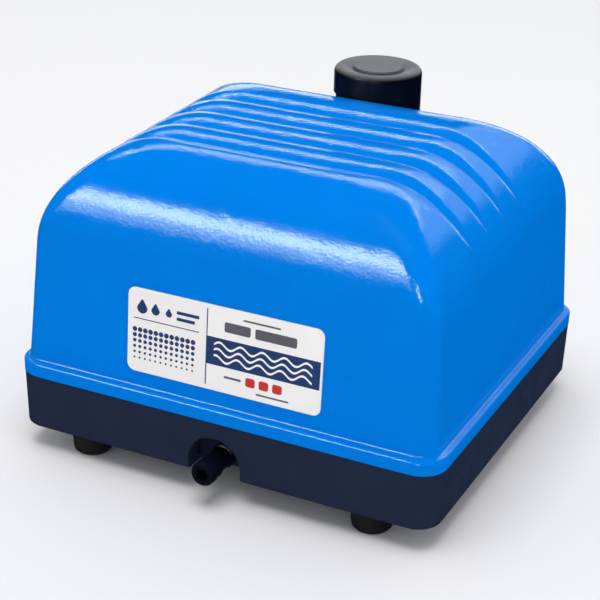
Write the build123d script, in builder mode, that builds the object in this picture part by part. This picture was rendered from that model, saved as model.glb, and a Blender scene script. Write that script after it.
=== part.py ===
"""Linear diaphragm air pump: a ribbed painted cover on a moulded base tray.

Frame: millimetres, +Z up, X to the right, +Y to the rear.  The origin is on the
ground plane under the middle of the case.  The armature slides along X between a
front and a rear electromagnet and works one diaphragm and pump head at each end.
Both heads blow through short hoses into the air tank in the base, and the tank
feeds the outlet nozzle in the front wall.  Air comes in under the filter cap.
"""
import os
from math import atan, cos, degrees, radians, sin, sqrt, tan

from build123d import *

os.makedirs("parts", exist_ok=True)

# ---- case -----------------------------------------------------------------
case_width = 200
case_depth = 180.4
foot_height = 10.5
base_height = 25.2
split_z = foot_height + base_height
lip_radius = 11.8
lip_height = 6.4
lip_edge = 1.4
wall = 3.0
roof = 4.5
wall_inset = 3.3
wall_draft = 0.0617
corner_radius = 7
crest_z = 142.5
crest_slope = 0.0367
side_shoulder = 43.4
front_shoulder = 36.1
rear_shoulder = 52.9
tilt = degrees(atan(crest_slope))

# ---- ribs across the cover -------------------------------------------------
valley_depth = 2.0
rib_pitch = 18.8
first_valley_y = -39.9
rib_count = 3
front_run = 14.1
skin = 0.1
rib_fade = 5.0
rib_sweep = 84
tool_height = 5

# ---- fits ------------------------------------------------------------------
clearance = 0.2
head_clearance = 0.3
through = 120

# ---- base tray -------------------------------------------------------------
tray_edge = 1.2
tray_wall = 4.5
tray_floor = 3.0
tray_top_inset = 0.2
tray_bottom_inset = 0.9
floor_z = foot_height + tray_floor
case_screw_x = 87
case_screw_y = 77
case_boss_radius = 6
groove_inset = 1.6
groove_width = 1.6
groove_depth = 1.0
case_screw_radius = 2.0
case_thread_depth = 18
cover_boss_height = 24
case_head_radius = 3.8
case_head_z = 24
case_head = 2.6
case_screw_length = 26
case_drive_radius = 1.6
case_drive_depth = 1.4

# ---- feet ------------------------------------------------------------------
foot_x = 68.2
foot_y = 77.2
foot_radius = 8.5
foot_boss_radius = 5
foot_boss_height = 9
foot_screw_radius = 2.0
foot_screw_grip = 10
foot_recess_radius = 4.2
foot_head_z = 5.5
foot_head = 2.4
foot_head_radius = 3.6
foot_drive_radius = 1.4
foot_drive_depth = 1.2
foot_bevel = 1.0
foot_top_flare = 0.8
foot_groove_z = (4.0, 4.3, 4.9, 5.2)
foot_groove_depth = 0.1
foot_ridge = 0.4

# ---- outlet ----------------------------------------------------------------
outlet_z = 16.0
arch_radius = 12.4
pocket_y = -78
pocket_wall = 2.5
nozzle_tip_y = -99.9
nozzle_radius = 5.6
nozzle_bore = 2.8
nozzle_neck = 4.7
shank_radius = 4.2
nozzle_flange = 5.4
seal_thickness = 1.2
flange_y = pocket_y - seal_thickness
shank_end_y = pocket_y + 4.5
tip_bevel = 0.9
first_barb = 4.0
second_barb = 8.6
barb_undercut = 0.6
second_barb_drop = 0.3
flange_width = 2.6
flange_bevel = 0.4
seal_inset = 0.3

# ---- air tank --------------------------------------------------------------
tank_half_x = 76
tank_front_y = pocket_y
tank_rear_y = -6
tank_wall = 2.5
tank_corner = 4
baffle_thickness = 2
tank_top_z = 29
lid_thickness = 2.5
lid_top_z = tank_top_z + lid_thickness
spigot_x = 67
spigot_y = -20
spigot_radius = 3.8
spigot_bore = 2.4
spigot_length = 6
tank_screw_inset = 4
lid_screw_radius = 1.5
lid_screw_length = 9
lid_head_radius = 2.9
lid_head = 1.8
baffle_x = 24
baffle_gap = 14
hose_radius = 6
hose_gap = 0.5

# ---- filter ----------------------------------------------------------------
cap_y = 68
cap_radius = 20.6
cap_top_z = 151.1
cap_wall = 2.0
cap_edge = 3.0
cap_roof = 3.6
cap_gap = 0.1
cap_fit = 0.25
button_radius = 11.5
dish_depth = 1.5
skirt_z = 126.2
slot_top_z = 138.7
slot_width = 14
slot_angles = (85.5, 145.5, 205.5)
well_radius = 22
well_floor_z = 123.7
boss_taper = 24
boss_height = 24
seat_radius = 16.4
seat_top_z = 137
seat_wall = 2.0
seat_floor = 2.4
foam_z = 127.8
foam_top_z = 136.6
intake_radius = 8
boss_rim = 6
seat_screw_circle = 11.5
seat_screw_radius = 1.25
seat_screw_angle = 30
seat_screw_length = 7
seat_head_radius = 2.3
seat_head = 1.4
seat_hole_radius = 1.7
seat_hole_circle = 4.4
foam_gap = 0.3
button_step = 0.3
button_bevel = 0.5
cap_rib = 1.6
cap_rib_overlap = 0.2

# ---- pump unit -------------------------------------------------------------
axis_z = 82
frame_z = 46
frame_plate = 4
upright_in = 42
upright_out = 47
frame_half_y = 50
diaphragm_radius = 34
diaphragm_thickness = 2
diaphragm_bore = 28
head_size = 70
head_in = upright_out + diaphragm_thickness
valve_wall_x = 58.5
valve_wall = 3
head_out = 73
cover_thickness = 3
head_screw = 29
port_z = 13
damper_x = 36
damper_y = 42
damper_radius = 7
damper_stud = 5
damper_stud_radius = 2.0
damper_collar = 2.5
damper_waist = 1.6
damper_head_radius = 3.4
damper_head = 2.2
chamber_radius = 26
plenum_z = 15
plenum_height = 24
plenum_half_y = 25
port_radius = 2.5
port_pitch = 5.5
hinge_offset = 20
flap_end = 8
flap_half_y = 8.5
flap_thickness = 0.8
flap_gap = 0.1
bead_radius = 0.9
keeper_gap = 0.25
keeper_depth = 2.6
keeper_height = 3.6
keeper_shift = 1.0
head_screw_length = 33
head_screw_radius = 2.0
head_screw_head_radius = 3.5
head_screw_head = 2.4
head_corner = 8
plenum_corner = 3
vent_radius = 2.2
vent_pitch_y = 9
vent_pitch_z = 8
disc_radius = 14
disc_thickness = 2.5
stud_radius = 2.5
stud_grip = 6
stud_end_x = 55.8
nut_thickness = 4
nut_radius = 4.6
roll_inner = 15.5
roll_middle = 20.5
roll_outer = 25.5
roll_bulge = 3.0

# ---- electromagnets --------------------------------------------------------
pole_y = 12
yoke_y = 36
core_back_y = 46
core_half_x = 28
leg_width = 9
centre_leg = 14
stack = 30
core_hole_x = 23.5
core_hole_y = 41
core_screw_radius = 2.0
core_head_radius = 3.5
core_head = 2.4
core_thread = 10
core_post = 4.5
coil_thickness = 8.5
bobbin_wall = 1.5
bobbin_flange = 1.5
bobbin_rim = 1.6
bobbin_gap = 0.15
bobbin_front_gap = 0.5
bobbin_back_gap = 0.3
coil_corner = 4
armature_half_x = 30
armature_half_y = 9
armature_half_z = 17
armature_corner = 4
magnet_x = 13
magnet_width = 14
magnet_height = 26

# ---- cable gland and terminals ---------------------------------------------
gland_x = -48
gland_z = 23
gland_seat_y = 89.9
gland_end_y = 99.9
gland_hex = 4
gland_hex_radius = 8
gland_thread_radius = 6
gland_thread = 10
gland_bore = 3.2
gland_taper = 14
gland_dome_radius = 6.8
locknut_thickness = 4
terminal_x = -40
terminal_y = 64
terminal_poles = (-50, -40, -30)
terminal_half_x = 16
terminal_half_y = 8
terminal_top_z = 27
way_half_x = 4
way_bottom_z = 21.5
way_top_z = 25
terminal_screw_radius = 1.9
terminal_screw_length = 4.6
terminal_bore_radius = 2.0
terminal_bore_depth = 5.5
driver_slot = 0.8

# ---- name plate ------------------------------------------------------------
plate_x = 1.8
plate_z = 68.2
plate_width = 90.8
plate_height = 37.7
plate_corner = 3.5
plate_thickness = 0.4


def finish(piece, name):
    """Label a finished piece and write its STEP file."""
    piece.part.label = name
    export_step(piece.part, f"parts/{name}.step")


def crest(y):
    """Height of the rib crests at a distance y along the case."""
    return crest_z + crest_slope * (y - rear_start)


def round_over(height_left, radius):
    """Inset of a shoulder arc, with height_left still to go to the crest."""
    rise = min(max(radius - height_left, 0), radius)
    return radius - sqrt(max(radius**2 - rise**2, 0))


def wall_half_width(z):
    return case_width / 2 - wall_inset - wall_draft * (z - split_z - lip_height)


rear_start = case_depth / 2 - wall_inset - wall_draft * (crest_z - split_z) - rear_shoulder
roof_x = wall_half_width(crest_z) - side_shoulder
mid_crest_z = crest(0)
wall_sections = 3


def cover_sections(inset, top_inset, bottom_z):
    """Planes and rectangles up the cover, `inset` inside its outer face.

    The first wall_sections of them are the straight walls, and the last of these
    is also the first of the shoulder.
    """
    top_z = mid_crest_z - top_inset
    radii = [radius - top_inset for radius in (side_shoulder, front_shoulder, rear_shoulder)]
    arc_angles = (6, 14, 22, 30, 38, 46, 54, 62, 70, 77, 83, 87)
    levels = [radii[2] * (1 - sin(radians(a))) for a in arc_angles]
    shoulder_z = top_z - radii[2]
    heights = [bottom_z, (bottom_z + shoulder_z) / 2, shoulder_z]
    heights += [top_z - level for level in levels]
    for z in heights:
        lean = tilt * min((z - bottom_z) / (shoulder_z - bottom_z), 1)
        base = inset + wall_inset + wall_draft * (z - split_z - lip_height)
        side, front, rear = (round_over(top_z - z, radius) for radius in radii)
        half_x = case_width / 2 - base - side
        front_y = -case_depth / 2 + base + front
        rear_y = case_depth / 2 - base - rear
        plane = Plane(origin=(0, 0, z), x_dir=(1, 0, 0),
                      z_dir=(0, -sin(radians(lean)), cos(radians(lean))))
        yield plane, 2 * half_x, rear_y - front_y, (front_y + rear_y) / 2


def solid_cover(inset, top_inset, bottom_z):
    """The cover's outer form, or its cavity, as one solid."""
    sections = list(cover_sections(inset, top_inset, bottom_z))
    with BuildPart() as form:
        for first, last, straight in ((0, wall_sections, True), (wall_sections - 1, None, False)):
            for plane, width, depth, middle in sections[first:last]:
                with BuildSketch(plane):
                    with Locations((0, middle)):
                        RectangleRounded(width, depth, corner_radius - inset)
            loft(ruled=straight)
    return form


def disc(plane_z, places, radius, height, mode=Mode.ADD):
    """Upright cylinders of one size, standing on plane_z at each (x, y)."""
    with BuildSketch(Plane.XY.offset(plane_z)) as outline:
        with Locations(*places):
            Circle(radius)
    extrude(outline.sketch, amount=height, mode=mode)


def block(x_range, y_range, z_range, mode=Mode.ADD):
    """A box between two values along each axis."""
    width = x_range[1] - x_range[0]
    depth = y_range[1] - y_range[0]
    with BuildSketch(Plane.XY.offset(z_range[0])) as outline:
        with Locations(((x_range[0] + x_range[1]) / 2, (y_range[0] + y_range[1]) / 2)):
            Rectangle(width, depth)
    extrude(outline.sketch, amount=z_range[1] - z_range[0], mode=mode)


def corners(x, y):
    return [(-x, -y), (x, -y), (-x, y), (x, y)]


def upright(x, y):
    """A plane through the upright line at (x, y), for profiles turned about it."""
    return Plane(origin=(x, y, 0), x_dir=(1, 0, 0), z_dir=(0, -1, 0))


# ---- upper cover -----------------------------------------------------------
cover_form = solid_cover(0, 0, split_z)

with BuildPart() as cavity:
    add(solid_cover(wall, roof, split_z - 1))
    with BuildSketch(Plane.XY.offset(well_floor_z - wall)):
        with Locations((0, cap_y)):
            Circle(well_radius + wall)
    extrude(amount=side_shoulder, mode=Mode.SUBTRACT)
    for x in (-case_screw_x, case_screw_x):
        for y in (-case_screw_y, case_screw_y):
            with BuildSketch(Plane.XY.offset(split_z - 1)):
                with Locations((x, y)):
                    Circle(case_boss_radius)
            extrude(amount=cover_boss_height + 1, mode=Mode.SUBTRACT)

# a bar of the ribs' hollows: it is cut from the roof and, turned, from both shoulders
rib_x_dir = (0, cos(radians(tilt)), sin(radians(tilt)))


def rib_outline():
    """The hollows between the ribs, seen from the side, above the roof line."""
    start = first_valley_y - front_run
    bend = (front_run**2 + (valley_depth + skin)**2) / 2 / (valley_depth + skin)
    half_drop = bend - sqrt(bend**2 - (front_run / 2)**2)
    with BuildSketch() as outline:
        with BuildLine():
            Line((start, tool_height), (start, skin))
            ThreePointArc((start, skin), (start + front_run / 2, skin - half_drop),
                          (first_valley_y, -valley_depth))
            for rib in range(rib_count):
                y = first_valley_y + rib * rib_pitch
                ThreePointArc((y, -valley_depth), (y + rib_pitch / 2, -skin),
                              (y + rib_pitch, -valley_depth))
            y = first_valley_y + rib_count * rib_pitch
            end = y + rib_pitch / 2
            ThreePointArc((y, -valley_depth), (y + rib_pitch / 4, -valley_depth / 4), (end, skin))
            Polyline((end, skin), (end, tool_height), (start, tool_height))
        make_face()
    return outline.sketch


with BuildPart() as upper_cover:
    with BuildSketch(Plane.XY.offset(split_z)):
        RectangleRounded(case_width, case_depth, lip_radius)
    extrude(amount=lip_height)
    fillet(upper_cover.faces().sort_by(Axis.Z)[-1].edges(), lip_edge)
    add(cover_form)
    # moulded boss that carries the filter at the rear shoulder
    with BuildSketch(Plane.XY.offset(well_floor_z - boss_rim)):
        with Locations((0, cap_y)):
            Circle(well_radius)
    extrude(amount=boss_rim)
    with BuildSketch(Plane.XY.offset(well_floor_z - boss_rim)):
        with Locations((0, cap_y)):
            Circle(well_radius)
    extrude(amount=-boss_height, taper=boss_taper)
    with BuildSketch(Plane.XY.offset(well_floor_z)):
        with Locations((0, cap_y)):
            Circle(well_radius)
    extrude(amount=side_shoulder, mode=Mode.SUBTRACT)
    # sharp valleys between rounded ribs, over the roof and both shoulders
    for side in (-1, 1):
        start_x = side * roof_x
        with BuildSketch(Plane(origin=(start_x, 0, mid_crest_z), x_dir=rib_x_dir, z_dir=(1, 0, 0))):
            add(rib_outline())
        if side < 0:
            extrude(amount=2 * roof_x, mode=Mode.SUBTRACT)
            with BuildSketch(Plane(origin=(start_x, 0, mid_crest_z), x_dir=rib_x_dir, z_dir=(1, 0, 0))):
                add(rib_outline())
        turn = Axis((start_x, 0, mid_crest_z - side_shoulder - rib_fade), rib_x_dir)
        revolve(axis=turn, revolution_arc=side * rib_sweep, mode=Mode.SUBTRACT)
    add(cavity.part, mode=Mode.SUBTRACT)
    # intake hole, filter seat screws and case screws
    with BuildSketch(Plane.XY.offset(well_floor_z)):
        with Locations((0, cap_y)):
            Circle(intake_radius)
            with PolarLocations(seat_screw_circle, 3, start_angle=seat_screw_angle):
                Circle(seat_screw_radius)
    extrude(amount=-2 * wall, mode=Mode.SUBTRACT)
    with BuildSketch(Plane.XY.offset(split_z)):
        with GridLocations(2 * case_screw_x, 2 * case_screw_y, 2, 2):
            Circle(case_screw_radius)
    extrude(amount=case_thread_depth, mode=Mode.SUBTRACT)
finish(upper_cover, "upper_cover")

# ---- name plate on the front wall ------------------------------------------
plate_angle = degrees(atan(wall_draft))
plate_face_y = -(case_depth / 2 - wall_inset) + wall_draft * (plate_z - split_z - lip_height)
plate_plane = Plane(origin=(plate_x, plate_face_y, plate_z), x_dir=(1, 0, 0),
                    z_dir=(0, -cos(radians(plate_angle)), sin(radians(plate_angle))))
with BuildPart() as front_label:
    with BuildSketch(plate_plane):
        RectangleRounded(plate_width, plate_height, plate_corner)
    extrude(amount=plate_thickness)
finish(front_label, "front_label")

# ---- base tray with the air tank moulded into it ----------------------------
tank_middle_y = (tank_front_y + tank_rear_y) / 2
tank_depth = tank_rear_y - tank_front_y
tank_screws_at = [(x, tank_middle_y + y) for x, y in
                  corners(tank_half_x - tank_screw_inset, tank_depth / 2 - tank_screw_inset)]
with BuildPart() as base_tray:
    with BuildSketch(Plane.XY.offset(foot_height)):
        RectangleRounded(case_width - 2 * tray_bottom_inset, case_depth - 2 * tray_bottom_inset,
                         lip_radius - tray_bottom_inset)
    with BuildSketch(Plane.XY.offset(split_z)):
        RectangleRounded(case_width - 2 * tray_top_inset, case_depth - 2 * tray_top_inset,
                         lip_radius - tray_top_inset)
    loft(ruled=True)
    fillet(base_tray.faces().sort_by(Axis.Z)[0].edges(), tray_edge)
    with BuildSketch(Plane.XY.offset(floor_z)):
        RectangleRounded(case_width - 2 * tray_wall, case_depth - 2 * tray_wall,
                         lip_radius - tray_wall)
    extrude(amount=base_height, mode=Mode.SUBTRACT)
    # screw bosses, foot bosses and the rear damper posts
    disc(floor_z, corners(case_screw_x, case_screw_y), case_boss_radius, split_z - floor_z)
    disc(floor_z, corners(foot_x, foot_y), foot_boss_radius, foot_boss_height)
    disc(floor_z, [(-damper_x, damper_y), (damper_x, damper_y)], damper_radius + 1,
         lid_top_z - floor_z)
    # tank walls, lid bosses and the baffles that smooth the pulses
    with BuildSketch(Plane.XY.offset(floor_z)):
        with Locations((0, tank_middle_y)):
            RectangleRounded(2 * tank_half_x, tank_depth, tank_corner)
            RectangleRounded(2 * (tank_half_x - tank_wall), tank_depth - 2 * tank_wall,
                             tank_corner - tank_wall, mode=Mode.SUBTRACT)
    extrude(amount=tank_top_z - floor_z)
    disc(floor_z, tank_screws_at, tank_screw_inset - 0.5, tank_top_z - floor_z)
    disc(tank_top_z, tank_screws_at, lid_screw_radius, -lid_screw_length, Mode.SUBTRACT)
    for x in (-baffle_x, baffle_x):
        block((x - baffle_thickness / 2, x + baffle_thickness / 2),
              (tank_front_y, tank_rear_y - baffle_gap), (floor_z, tank_top_z))
    # arched pocket around the outlet, open at the bottom
    with BuildSketch(Plane.XZ.offset(case_depth / 2 - tray_wall - 1)):
        with Locations((0, outlet_z)):
            Circle(arch_radius + pocket_wall)
        with Locations((0, (foot_height + outlet_z) / 2)):
            Rectangle(2 * (arch_radius + pocket_wall), outlet_z - foot_height)
        with Locations((0, 0)):
            Rectangle(4 * arch_radius, 2 * foot_height, mode=Mode.SUBTRACT)
    extrude(amount=-(case_depth / 2 - tray_wall - 1 + pocket_y - pocket_wall))
    with BuildSketch(Plane.XZ.offset(case_depth / 2 + 2)):
        with Locations((0, outlet_z)):
            Circle(arch_radius)
        with Locations((0, outlet_z / 2)):
            Rectangle(2 * arch_radius, outlet_z)
    extrude(amount=-(case_depth / 2 + 2 + pocket_y), mode=Mode.SUBTRACT)
    with BuildSketch(Plane.XZ.offset(case_depth / 2 + 2)):
        with Locations((0, outlet_z)):
            Circle(shank_radius)
    extrude(amount=-(case_depth / 2 + 2 + shank_end_y), mode=Mode.SUBTRACT)
    # gasket groove in the rim
    with BuildSketch(Plane.XY.offset(split_z)):
        RectangleRounded(case_width - 2 * groove_inset, case_depth - 2 * groove_inset,
                         lip_radius - groove_inset)
        inner = groove_inset + groove_width
        RectangleRounded(case_width - 2 * inner, case_depth - 2 * inner, lip_radius - inner,
                         mode=Mode.SUBTRACT)
    extrude(amount=-groove_depth, mode=Mode.SUBTRACT)
    # screw holes from below
    disc(foot_height, corners(case_screw_x, case_screw_y), case_screw_radius + clearance,
         base_height, Mode.SUBTRACT)
    disc(foot_height, corners(case_screw_x, case_screw_y), case_head_radius + head_clearance,
         case_head_z - foot_height, Mode.SUBTRACT)
    disc(foot_height, corners(foot_x, foot_y), foot_screw_radius, foot_screw_grip, Mode.SUBTRACT)
    disc(lid_top_z, [(-damper_x, damper_y), (damper_x, damper_y)], damper_stud_radius,
         -damper_stud, Mode.SUBTRACT)
    # cable gland hole in the rear wall
    with BuildSketch(Plane.XZ.offset(-case_depth / 2 - 2)):
        with Locations((gland_x, gland_z)):
            Circle(gland_thread_radius)
    extrude(amount=2 + 3 * tray_wall, mode=Mode.SUBTRACT)
finish(base_tray, "base_tray")

with BuildPart() as case_gasket:
    with BuildSketch(Plane.XY.offset(split_z - groove_depth)):
        RectangleRounded(case_width - 2 * groove_inset, case_depth - 2 * groove_inset,
                         lip_radius - groove_inset)
        inner = groove_inset + groove_width
        RectangleRounded(case_width - 2 * inner, case_depth - 2 * inner, lip_radius - inner,
                         mode=Mode.SUBTRACT)
    extrude(amount=groove_depth)
finish(case_gasket, "case_gasket")

with BuildPart() as cover_screws:
    disc(case_head_z - case_head, corners(case_screw_x, case_screw_y), case_head_radius, case_head)
    fillet(cover_screws.edges().filter_by(GeomType.CIRCLE).group_by(Axis.Z)[0], 1)
    disc(case_head_z, corners(case_screw_x, case_screw_y), case_screw_radius, case_screw_length)
    disc(case_head_z - case_head, corners(case_screw_x, case_screw_y), case_drive_radius,
         case_drive_depth, Mode.SUBTRACT)
finish(cover_screws, "cover_screws")

# ---- feet ------------------------------------------------------------------
foot_names = ("front_left", "front_right", "rear_left", "rear_right")
for foot_name, (x, y) in zip(foot_names, corners(foot_x, foot_y)):
    with BuildPart() as foot:
        with BuildSketch(upright(x, y)):
            with BuildLine():
                top_radius = foot_radius + foot_top_flare
                groove_radius = foot_radius - foot_groove_depth
                lower_edge, groove_low, groove_high, upper_edge = foot_groove_z
                Polyline((0, foot_height), (top_radius, foot_height),
                         (top_radius, foot_height - 2 * foot_bevel),
                         (foot_radius + foot_ridge, upper_edge), (groove_radius, groove_high),
                         (groove_radius, groove_low), (foot_radius + foot_ridge, lower_edge),
                         (foot_radius, foot_bevel), (foot_radius - foot_bevel, 0),
                         (0, 0), (0, foot_height))
            make_face()
        revolve(axis=Axis((x, y, 0), (0, 0, 1)))
        disc(0, [(x, y)], foot_recess_radius, foot_head_z, Mode.SUBTRACT)
        disc(0, [(x, y)], foot_screw_radius, foot_height, Mode.SUBTRACT)
    finish(foot, f"foot_{foot_name}")

with BuildPart() as foot_screws:
    disc(foot_head_z - foot_head, corners(foot_x, foot_y), foot_head_radius, foot_head)
    fillet(foot_screws.edges().filter_by(GeomType.CIRCLE).group_by(Axis.Z)[0], 0.8)
    disc(foot_head_z, corners(foot_x, foot_y), foot_screw_radius,
         foot_height + foot_screw_grip - foot_head_z)
    disc(foot_head_z - foot_head, corners(foot_x, foot_y), foot_drive_radius, foot_drive_depth,
         Mode.SUBTRACT)
finish(foot_screws, "foot_screws")

# ---- outlet nozzle ---------------------------------------------------------
with BuildPart() as outlet_nozzle:
    with BuildSketch(Plane.YZ):
        with BuildLine():
            Polyline((nozzle_tip_y, outlet_z + nozzle_bore),
                     (nozzle_tip_y, outlet_z + nozzle_radius - tip_bevel),
                     (nozzle_tip_y + tip_bevel, outlet_z + nozzle_radius - clearance),
                     (nozzle_tip_y + first_barb, outlet_z + nozzle_radius),
                     (nozzle_tip_y + first_barb + barb_undercut,
                      outlet_z + nozzle_radius - tip_bevel),
                     (nozzle_tip_y + second_barb, outlet_z + nozzle_radius - second_barb_drop),
                     (nozzle_tip_y + second_barb + barb_undercut, outlet_z + nozzle_neck),
                     (flange_y - flange_width - flange_bevel, outlet_z + nozzle_neck),
                     (flange_y - flange_width, outlet_z + nozzle_flange),
                     (flange_y, outlet_z + nozzle_flange),
                     (flange_y, outlet_z + shank_radius),
                     (shank_end_y, outlet_z + shank_radius),
                     (shank_end_y, outlet_z + nozzle_bore),
                     (nozzle_tip_y, outlet_z + nozzle_bore))
        make_face()
    revolve(axis=Axis((0, 0, outlet_z), (0, 1, 0)))
finish(outlet_nozzle, "outlet_nozzle")

with BuildPart() as nozzle_seal:
    with BuildSketch(Plane.XZ.offset(-flange_y)):
        with Locations((0, outlet_z)):
            Circle(nozzle_flange - seal_inset)
            Circle(shank_radius, mode=Mode.SUBTRACT)
    extrude(amount=-seal_thickness)
finish(nozzle_seal, "nozzle_seal")

# ---- tank lid --------------------------------------------------------------
with BuildPart() as tank_lid:
    with BuildSketch(Plane.XY.offset(tank_top_z)):
        with Locations((0, tank_middle_y)):
            RectangleRounded(2 * tank_half_x, tank_depth, tank_corner)
    extrude(amount=lid_thickness)
    disc(lid_top_z, [(-spigot_x, spigot_y), (spigot_x, spigot_y)], spigot_radius, spigot_length)
    disc(tank_top_z, [(-spigot_x, spigot_y), (spigot_x, spigot_y)], spigot_bore,
         lid_thickness + spigot_length, Mode.SUBTRACT)
    disc(tank_top_z, tank_screws_at, lid_screw_radius + clearance, lid_thickness, Mode.SUBTRACT)
    disc(lid_top_z, [(-damper_x, -damper_y), (damper_x, -damper_y)], damper_stud_radius,
         -lid_thickness, Mode.SUBTRACT)
finish(tank_lid, "tank_lid")

with BuildPart() as tank_lid_screws:
    disc(lid_top_z, tank_screws_at, lid_head_radius, lid_head)
    fillet(tank_lid_screws.edges().filter_by(GeomType.CIRCLE).group_by(Axis.Z)[-1], 0.7)
    disc(lid_top_z, tank_screws_at, lid_screw_radius, -(lid_thickness + lid_screw_length - 1))
finish(tank_lid_screws, "tank_lid_screws")

# ---- cable gland and terminals ---------------------------------------------
with BuildPart() as cable_gland:
    with BuildSketch(Plane.XZ.offset(-gland_seat_y)):
        with Locations((gland_x, gland_z)):
            RegularPolygon(gland_hex_radius, 6)
    extrude(amount=-gland_hex)
    with BuildSketch(Plane.XZ.offset(-gland_seat_y - gland_hex)):
        with Locations((gland_x, gland_z)):
            Circle(gland_dome_radius)
    extrude(amount=-(gland_end_y - gland_seat_y - gland_hex), taper=gland_taper)
    with BuildSketch(Plane.XZ.offset(-gland_seat_y)):
        with Locations((gland_x, gland_z)):
            Circle(gland_thread_radius)
    extrude(amount=gland_thread)
    with BuildSketch(Plane.XZ.offset(-gland_end_y)):
        with Locations((gland_x, gland_z)):
            Circle(gland_bore)
    extrude(amount=through, mode=Mode.SUBTRACT)
finish(cable_gland, "cable_gland")

with BuildPart() as gland_locknut:
    with BuildSketch(Plane.XZ.offset(-(case_depth / 2 - tray_wall))):
        with Locations((gland_x, gland_z)):
            RegularPolygon(gland_hex_radius, 6)
            Circle(gland_thread_radius, mode=Mode.SUBTRACT)
    extrude(amount=locknut_thickness)
finish(gland_locknut, "gland_locknut")

with BuildPart() as terminal_block:
    block((terminal_x - terminal_half_x, terminal_x + terminal_half_x),
          (terminal_y - terminal_half_y, terminal_y + terminal_half_y), (floor_z, terminal_top_z))
    for x in terminal_poles:
        block((x - way_half_x, x + way_half_x),
              (terminal_y - terminal_half_y, terminal_y + terminal_half_y),
              (way_bottom_z, way_top_z), Mode.SUBTRACT)
    terminal_places = [(x, terminal_y) for x in terminal_poles]
    disc(terminal_top_z, terminal_places, terminal_bore_radius, -terminal_bore_depth,
         Mode.SUBTRACT)
finish(terminal_block, "terminal_block")

with BuildPart() as terminal_screws:
    disc(terminal_top_z, terminal_places, terminal_screw_radius, -terminal_screw_length)
    for x, y in terminal_places:
        block((x - terminal_screw_radius, x + terminal_screw_radius),
              (y - driver_slot / 2, y + driver_slot / 2),
              (terminal_top_z - driver_slot, terminal_top_z), Mode.SUBTRACT)
finish(terminal_screws, "terminal_screws")

# ---- filter seat, foam and cap ---------------------------------------------
with BuildPart() as filter_seat:
    disc(well_floor_z, [(0, cap_y)], seat_radius, seat_top_z - well_floor_z)
    disc(well_floor_z + seat_floor, [(0, cap_y)], seat_radius - seat_wall,
         seat_top_z - well_floor_z, Mode.SUBTRACT)
    with BuildSketch(Plane.XY.offset(well_floor_z)):
        with Locations((0, cap_y)):
            with PolarLocations(seat_hole_circle, 6):
                Circle(seat_hole_radius)
            Circle(seat_hole_radius)
            with PolarLocations(seat_screw_circle, 3, start_angle=seat_screw_angle):
                Circle(seat_screw_radius)
    extrude(amount=seat_floor, mode=Mode.SUBTRACT)
finish(filter_seat, "filter_seat")

with BuildPart() as seat_screws:
    for height, radius in ((seat_head, seat_head_radius), (-seat_screw_length, seat_screw_radius)):
        with BuildSketch(Plane.XY.offset(well_floor_z + seat_floor)):
            with Locations((0, cap_y)):
                with PolarLocations(seat_screw_circle, 3, start_angle=seat_screw_angle):
                    Circle(radius)
        extrude(amount=height)
finish(seat_screws, "seat_screws")

with BuildPart() as foam_filter:
    disc(foam_z, [(0, cap_y)], seat_radius - seat_wall - foam_gap, foam_top_z - foam_z)
finish(foam_filter, "foam_filter")

with BuildPart() as filter_cap:
    with BuildSketch(Plane.YZ):
        with BuildLine():
            button_z = cap_top_z - button_step
            Polyline((cap_y, button_z), (cap_y + button_radius - button_bevel, button_z),
                     (cap_y + button_radius, button_z - button_bevel),
                     (cap_y + button_radius + button_bevel, cap_top_z - dish_depth),
                     (cap_y + cap_radius - cap_edge, cap_top_z))
            RadiusArc((cap_y + cap_radius - cap_edge, cap_top_z),
                      (cap_y + cap_radius, cap_top_z - cap_edge), cap_edge)
            Line((cap_y + cap_radius, cap_top_z - cap_edge), (cap_y + cap_radius, skirt_z))
            Line((cap_y + cap_radius, skirt_z), (cap_y + cap_radius - cap_wall, skirt_z))
            Line((cap_y + cap_radius - cap_wall, skirt_z),
                 (cap_y + cap_radius - cap_wall, cap_top_z - cap_roof))
            Line((cap_y + cap_radius - cap_wall, cap_top_z - cap_roof), (cap_y, cap_top_z - cap_roof))
            Line((cap_y, cap_top_z - cap_roof), (cap_y, button_z))
        make_face()
    revolve(axis=Axis((0, cap_y, 0), (0, 0, 1)))
    # ribs inside that rest on the seat and centre the cap on it
    for angle in range(0, 360, 60):
        rib_plane = Plane(origin=(0, cap_y, cap_top_z - cap_roof), x_dir=(cos(radians(angle)),
                          sin(radians(angle)), 0), z_dir=(0, 0, 1))
        for inner, bottom in ((seat_radius - seat_wall + clearance, seat_top_z + cap_gap),
                              (seat_radius + cap_fit, skirt_z + 2)):
            outer = cap_radius - cap_wall + cap_rib_overlap
            with BuildSketch(rib_plane):
                with Locations(((inner + outer) / 2, 0)):
                    Rectangle(outer - inner, cap_rib)
            extrude(amount=-(cap_top_z - cap_roof - bottom))
    # air slots in the skirt
    for angle in slot_angles:
        slot_plane = Plane(origin=(0, cap_y, skirt_z), x_dir=(cos(radians(angle)),
                           sin(radians(angle)), 0), z_dir=(0, 0, 1))
        with BuildSketch(slot_plane):
            with Locations((cap_radius, 0)):
                Rectangle(2 * cap_wall + 2 * cap_rib_overlap, slot_width)
        extrude(amount=slot_top_z - skirt_z, mode=Mode.SUBTRACT)
finish(filter_cap, "filter_cap")

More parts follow.
